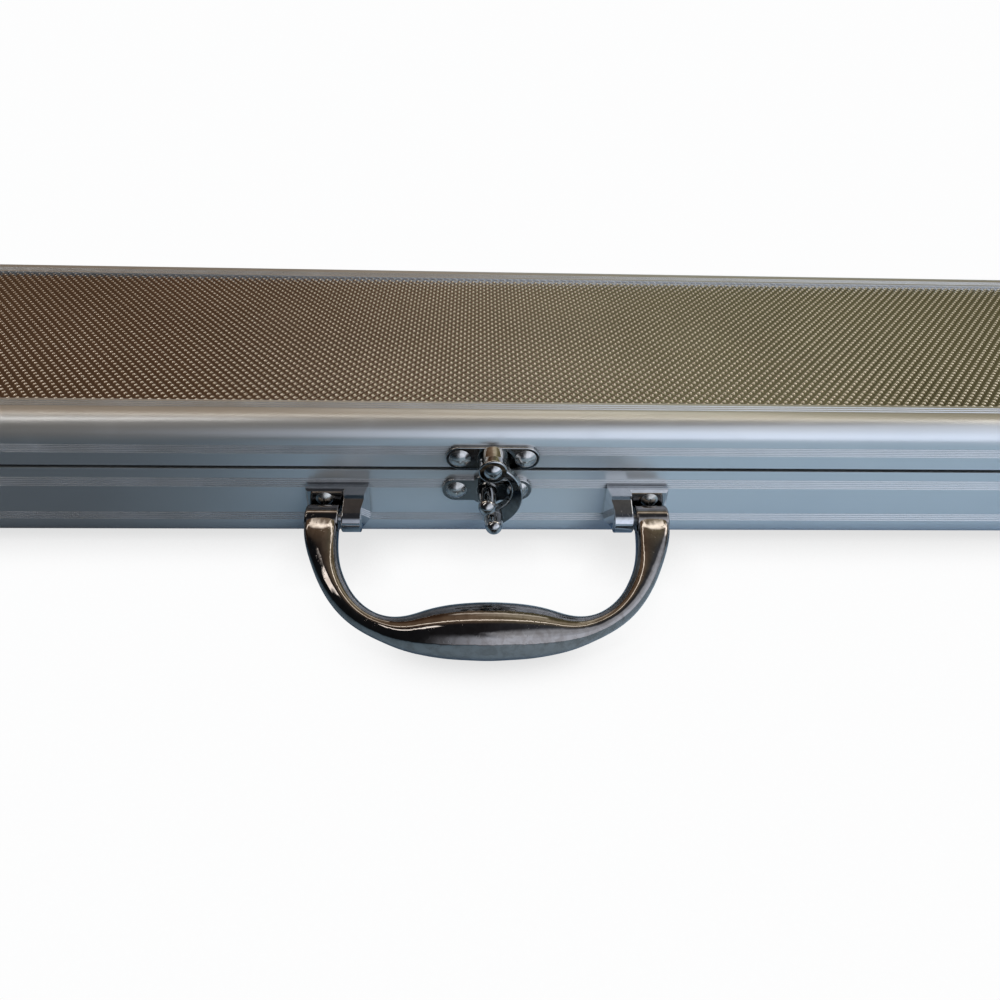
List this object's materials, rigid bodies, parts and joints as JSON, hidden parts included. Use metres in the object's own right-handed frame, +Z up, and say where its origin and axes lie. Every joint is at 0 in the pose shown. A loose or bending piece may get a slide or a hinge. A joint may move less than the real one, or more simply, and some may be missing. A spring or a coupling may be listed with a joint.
{
  "type": "cue case",
  "caption": "Slim aluminium hard case for a two-piece billiard cue, with embossed panels, hook latches, drop handle and padded channels.",
  "frame": {"origin": "centre of the footprint of the whole object, handle and hinges included, on the plane the corner caps rest on", "axes": "+X along the case, -Y is the handle and latch side, +Z up through the lid"},
  "size_m": [0.8236, 0.1512, 0.0468],
  "materials": {
    "anodised_frame": "satin anodised extrusion with fine grooves",
    "corner_cap": "pressed, bright plated",
    "embossed_panel": "bright sheet embossed with small dots",
    "base_sheet": "brushed sheet",
    "plush_bed": "short black plush over foam",
    "plush_pad": "short black plush over foam",
    "latch_nickel": "bright plated pressing",
    "latch_chrome": "bright plated casting",
    "screw_nickel": "dull nickel",
    "bracket_chrome": "bright plated casting",
    "handle_chrome": "polished plated casting",
    "pin_steel": "turned steel",
    "hinge_steel": "nickel plated sheet",
    "rivet_nickel": "domed, dull nickel"
  },
  "bodies": {
    "base": {"base_corner_front_left": "corner_cap", "base_corner_front_right": "corner_cap", "base_corner_rear_left": "corner_cap", "base_corner_rear_right": "corner_cap", "base_frame_front": "anodised_frame", "base_frame_left": "anodised_frame", "base_frame_rear": "anodised_frame", "base_frame_right": "anodised_frame", "base_panel": "base_sheet", "bed_divider": "plush_bed", "bed_end_left": "plush_bed", "bed_end_right": "plush_bed", "bed_floor": "plush_bed", "bed_rail_front": "plush_bed", "bed_rail_middle_left": "plush_bed", "bed_rail_middle_right": "plush_bed", "bed_rail_rear": "plush_bed", "corner_base_rivets": "rivet_nickel", "handle_bracket_left": "bracket_chrome", "handle_bracket_right": "bracket_chrome", "handle_bracket_screws": "screw_nickel", "handle_pins": "pin_steel", "hinge_base_leaf_center": "hinge_steel", "hinge_base_leaf_left": "hinge_steel", "hinge_base_leaf_right": "hinge_steel", "hinge_base_rivets": "rivet_nickel", "hinge_pin_center": "pin_steel", "hinge_pin_left": "pin_steel", "hinge_pin_right": "pin_steel", "latch_base_rivets": "rivet_nickel", "latch_post_center": "latch_nickel", "latch_post_left": "latch_nickel", "latch_post_right": "latch_nickel"},
    "lid": {"corner_lid_rivets": "rivet_nickel", "hinge_lid_leaf_center": "hinge_steel", "hinge_lid_leaf_left": "hinge_steel", "hinge_lid_leaf_right": "hinge_steel", "hinge_lid_rivets": "rivet_nickel", "latch_lid_rivets": "rivet_nickel", "latch_pivot_center": "latch_chrome", "latch_pivot_left": "latch_chrome", "latch_pivot_right": "latch_chrome", "latch_plate_center": "latch_nickel", "latch_plate_left": "latch_nickel", "latch_plate_right": "latch_nickel", "lid_corner_front_left": "corner_cap", "lid_corner_front_right": "corner_cap", "lid_corner_rear_left": "corner_cap", "lid_corner_rear_right": "corner_cap", "lid_frame_front": "anodised_frame", "lid_frame_left": "anodised_frame", "lid_frame_rear": "anodised_frame", "lid_frame_right": "anodised_frame", "lid_pad": "plush_pad", "lid_panel": "embossed_panel"},
    "handle": {"handle": "handle_chrome"},
    "latch_hook_left": {"latch_hook_left": "latch_chrome"},
    "latch_hook_center": {"latch_hook_center": "latch_chrome"},
    "latch_hook_right": {"latch_hook_right": "latch_chrome"}
  },
  "joints": [
    {"name": "lid_hinge", "type": "hinge", "parent": "base", "child": "lid", "pos_m": [0, 0.07043, 0.0302], "axis": [-1, 0, 0], "range_deg": [0, 95]},
    {"name": "handle_pivot", "type": "hinge", "parent": "base", "child": "handle", "pos_m": [0, -0.03937, 0.0178], "axis": [-1, 0, 0], "range_deg": [0, 88]},
    {"name": "hook_left_swing", "type": "hinge", "parent": "lid", "child": "latch_hook_left", "pos_m": [-0.289, -0.03627, 0.035], "axis": [0, -1, 0], "range_deg": [0, 110]},
    {"name": "hook_center_swing", "type": "hinge", "parent": "lid", "child": "latch_hook_center", "pos_m": [0.001, -0.03627, 0.035], "axis": [0, -1, 0], "range_deg": [0, 110]},
    {"name": "hook_right_swing", "type": "hinge", "parent": "lid", "child": "latch_hook_right", "pos_m": [0.291, -0.03627, 0.035], "axis": [0, -1, 0], "range_deg": [0, 110]}
  ]
}
